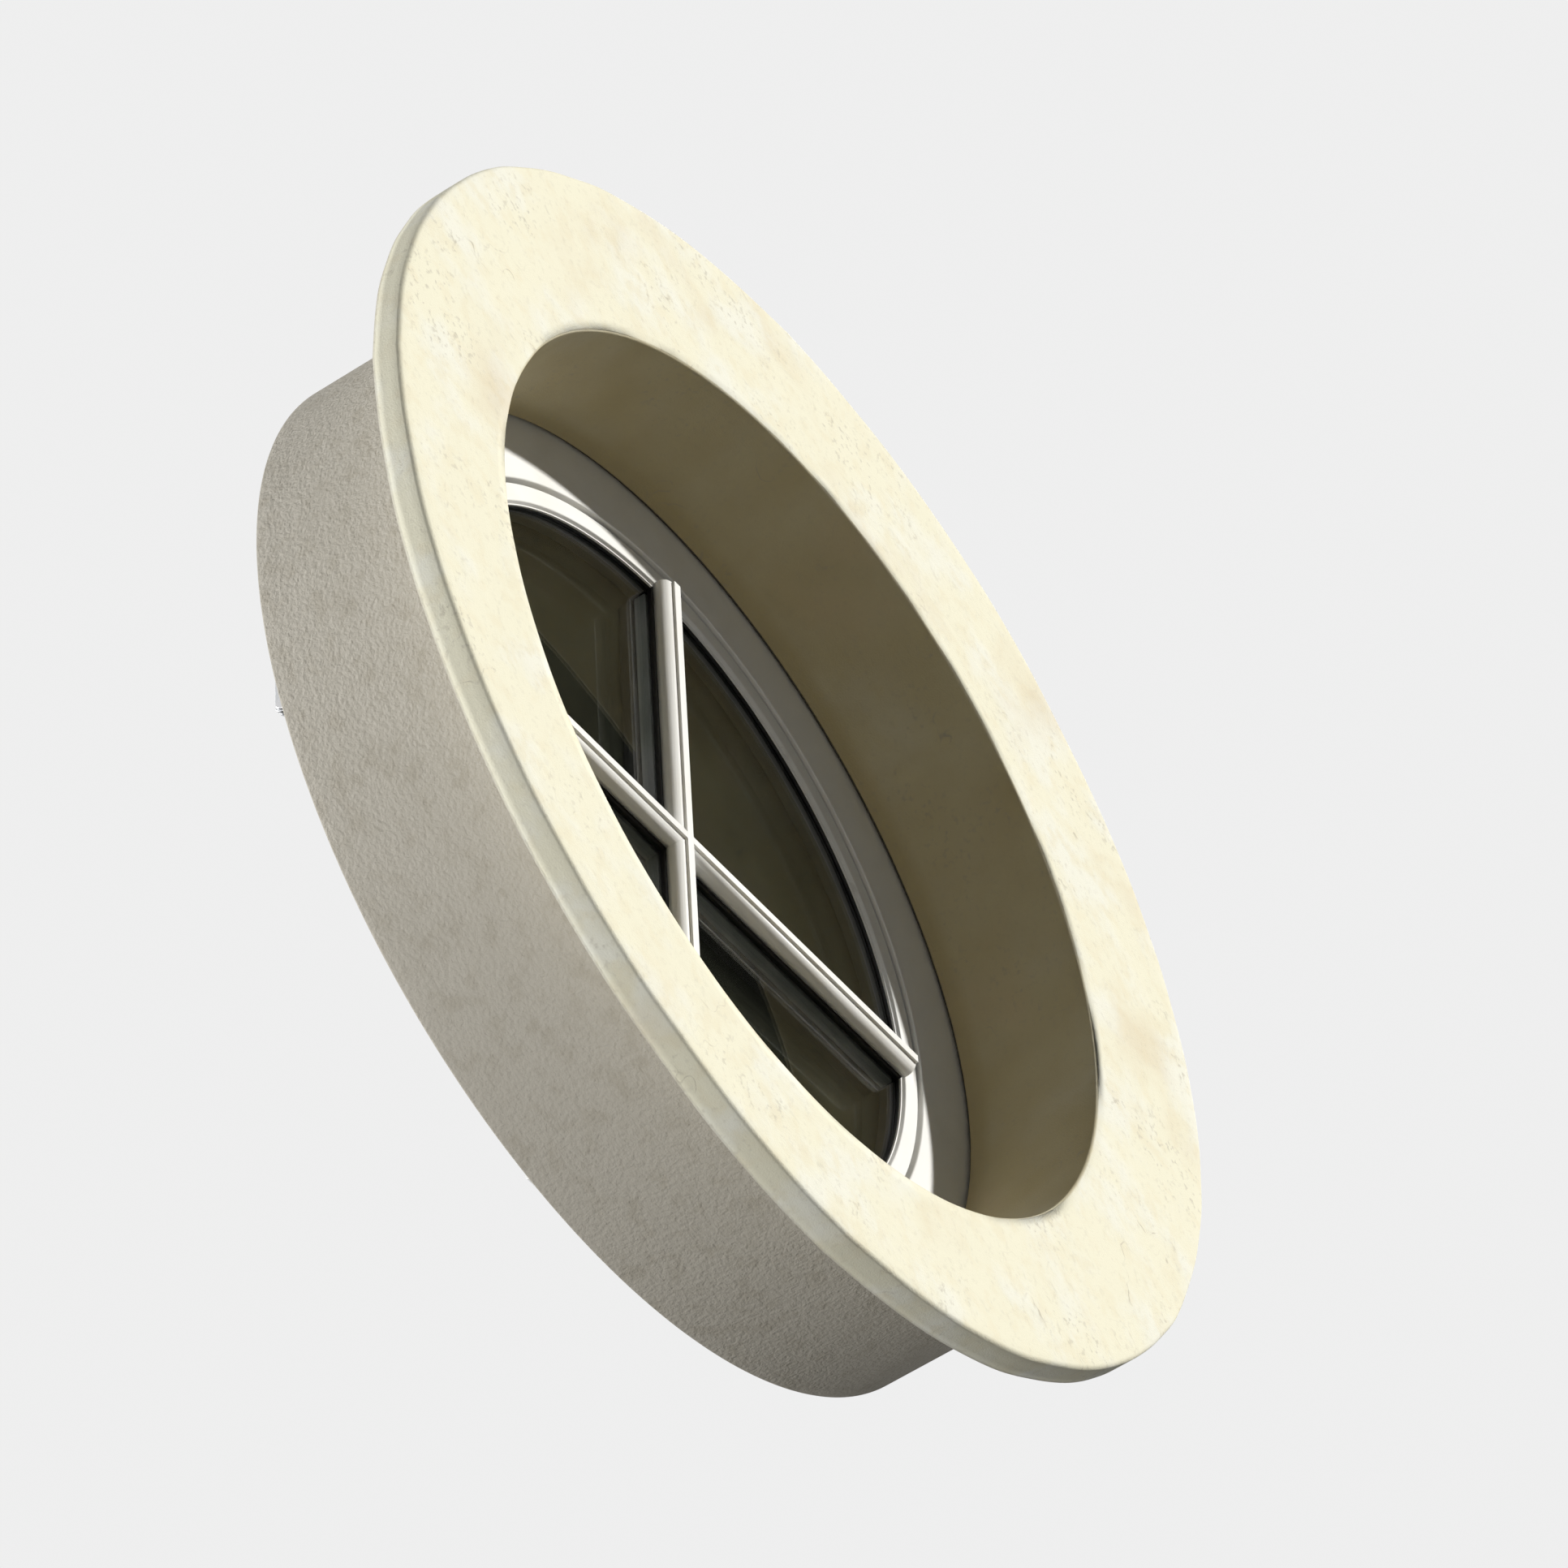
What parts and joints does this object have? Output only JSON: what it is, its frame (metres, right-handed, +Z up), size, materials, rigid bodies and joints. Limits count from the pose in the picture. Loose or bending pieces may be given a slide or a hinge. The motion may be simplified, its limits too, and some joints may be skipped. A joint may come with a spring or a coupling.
{
  "type": "round window",
  "caption": "Round window in a smooth surround with a deep round reveal: white frame, bottom-hung sash opening inwards, crossed glazing bars, folding stays and a turning handle.",
  "frame": {"origin": "on the window's axis, in the plane of the wall's outer face, where the band's back seats", "axes": "+Y along the window's axis into the building, so the outside faces -Y; +Z up; +X to the right seen from outside"},
  "size_m": [1.04, 0.231, 1.04],
  "materials": {
    "cast_render": "smooth lime render, matt",
    "white_wood": "white opaque paint, satin",
    "pane": "clear float glass",
    "black_rubber": "matt",
    "foam_tape": "matt foam",
    "white_sealant": "tooled bead",
    "packer_plastic": "matt",
    "black_spacer": "matt black",
    "grey_spacer": "matt grey",
    "white_steel": "white powder coat",
    "zinc_steel": "zinc plated",
    "bright_steel": "plain"
  },
  "bodies": {
    "fixed_frame": {"surround": "cast_render", "frame_ring": "white_wood", "frame_tape": "foam_tape", "room_sealant": "white_sealant", "frame_packers": "packer_plastic", "frame_screws": "bright_steel", "frame_weather_seal": "black_rubber", "keeper": "zinc_steel", "hinge_frame_leaf_left": "white_steel", "hinge_pin_left": "bright_steel", "stay_frame_bracket_left": "zinc_steel", "stay_frame_rivet_left": "bright_steel", "hinge_frame_leaf_right": "white_steel", "hinge_pin_right": "bright_steel", "stay_frame_bracket_right": "zinc_steel", "stay_frame_rivet_right": "bright_steel"},
    "sash": {"sash_ring": "white_wood", "glazing_bead": "white_wood", "outer_bar_upright": "white_wood", "outer_bar_left": "white_wood", "outer_bar_right": "white_wood", "inner_bar_upright": "white_wood", "inner_bar_left": "white_wood", "inner_bar_right": "white_wood", "outer_pane": "pane", "inner_pane": "pane", "outer_gasket": "black_rubber", "inner_gasket": "black_rubber", "sash_weather_seal": "black_rubber", "edge_seal": "black_rubber", "setting_blocks": "packer_plastic", "spacer_ring": "black_spacer", "spacer_bar_upright": "grey_spacer", "spacer_bar_left": "grey_spacer", "spacer_bar_right": "grey_spacer", "hinge_sash_leaf_left": "white_steel", "stay_sash_bracket_left": "zinc_steel", "stay_sash_rivet_left": "bright_steel", "hinge_sash_leaf_right": "white_steel", "stay_sash_bracket_right": "zinc_steel", "stay_sash_rivet_right": "bright_steel", "handle_rivet": "bright_steel", "handle_base": "white_steel"},
    "stay_frame_arm_left": {"stay_frame_arm_left": "zinc_steel", "stay_knee_pin_left": "bright_steel"},
    "stay_sash_arm_left": {"stay_sash_arm_left": "zinc_steel"},
    "stay_frame_arm_right": {"stay_frame_arm_right": "zinc_steel", "stay_knee_pin_right": "bright_steel"},
    "stay_sash_arm_right": {"stay_sash_arm_right": "zinc_steel"},
    "handle": {"handle_lever": "white_steel"}
  },
  "joints": [
    {"name": "sash_tilt", "type": "hinge", "parent": "fixed_frame", "child": "sash", "pos_m": [0, 0.188, -0.372], "axis": [-1, 0, 0], "range_deg": [0, 20]},
    {"name": "stay_frame_arm_left_swing", "type": "hinge", "parent": "fixed_frame", "child": "stay_frame_arm_left", "pos_m": [-0.376, 0.188, 0.12], "axis": [1, 0, 0], "range_deg": [0, 12]},
    {"name": "stay_sash_arm_left_swing", "type": "hinge", "parent": "sash", "child": "stay_sash_arm_left", "pos_m": [-0.3725, 0.188, 0.12], "axis": [-1, 0, 0], "range_deg": [0, 12]},
    {"name": "stay_frame_arm_right_swing", "type": "hinge", "parent": "fixed_frame", "child": "stay_frame_arm_right", "pos_m": [0.376, 0.188, 0.12], "axis": [1, 0, 0], "range_deg": [0, 12]},
    {"name": "stay_sash_arm_right_swing", "type": "hinge", "parent": "sash", "child": "stay_sash_arm_right", "pos_m": [0.3725, 0.188, 0.12], "axis": [-1, 0, 0], "range_deg": [0, 12]},
    {"name": "handle_turn", "type": "hinge", "parent": "sash", "child": "handle", "pos_m": [0, 0.178, 0.338], "axis": [0, 1, 0], "range_deg": [-90, 0]}
  ],
  "couplings": [
    {"joint": "stay_frame_arm_left_swing", "follows": "sash_tilt", "ratio": 0.585},
    {"joint": "stay_sash_arm_left_swing", "follows": "sash_tilt", "ratio": 0.585},
    {"joint": "stay_frame_arm_right_swing", "follows": "sash_tilt", "ratio": 0.585},
    {"joint": "stay_sash_arm_right_swing", "follows": "sash_tilt", "ratio": 0.585}
  ]
}
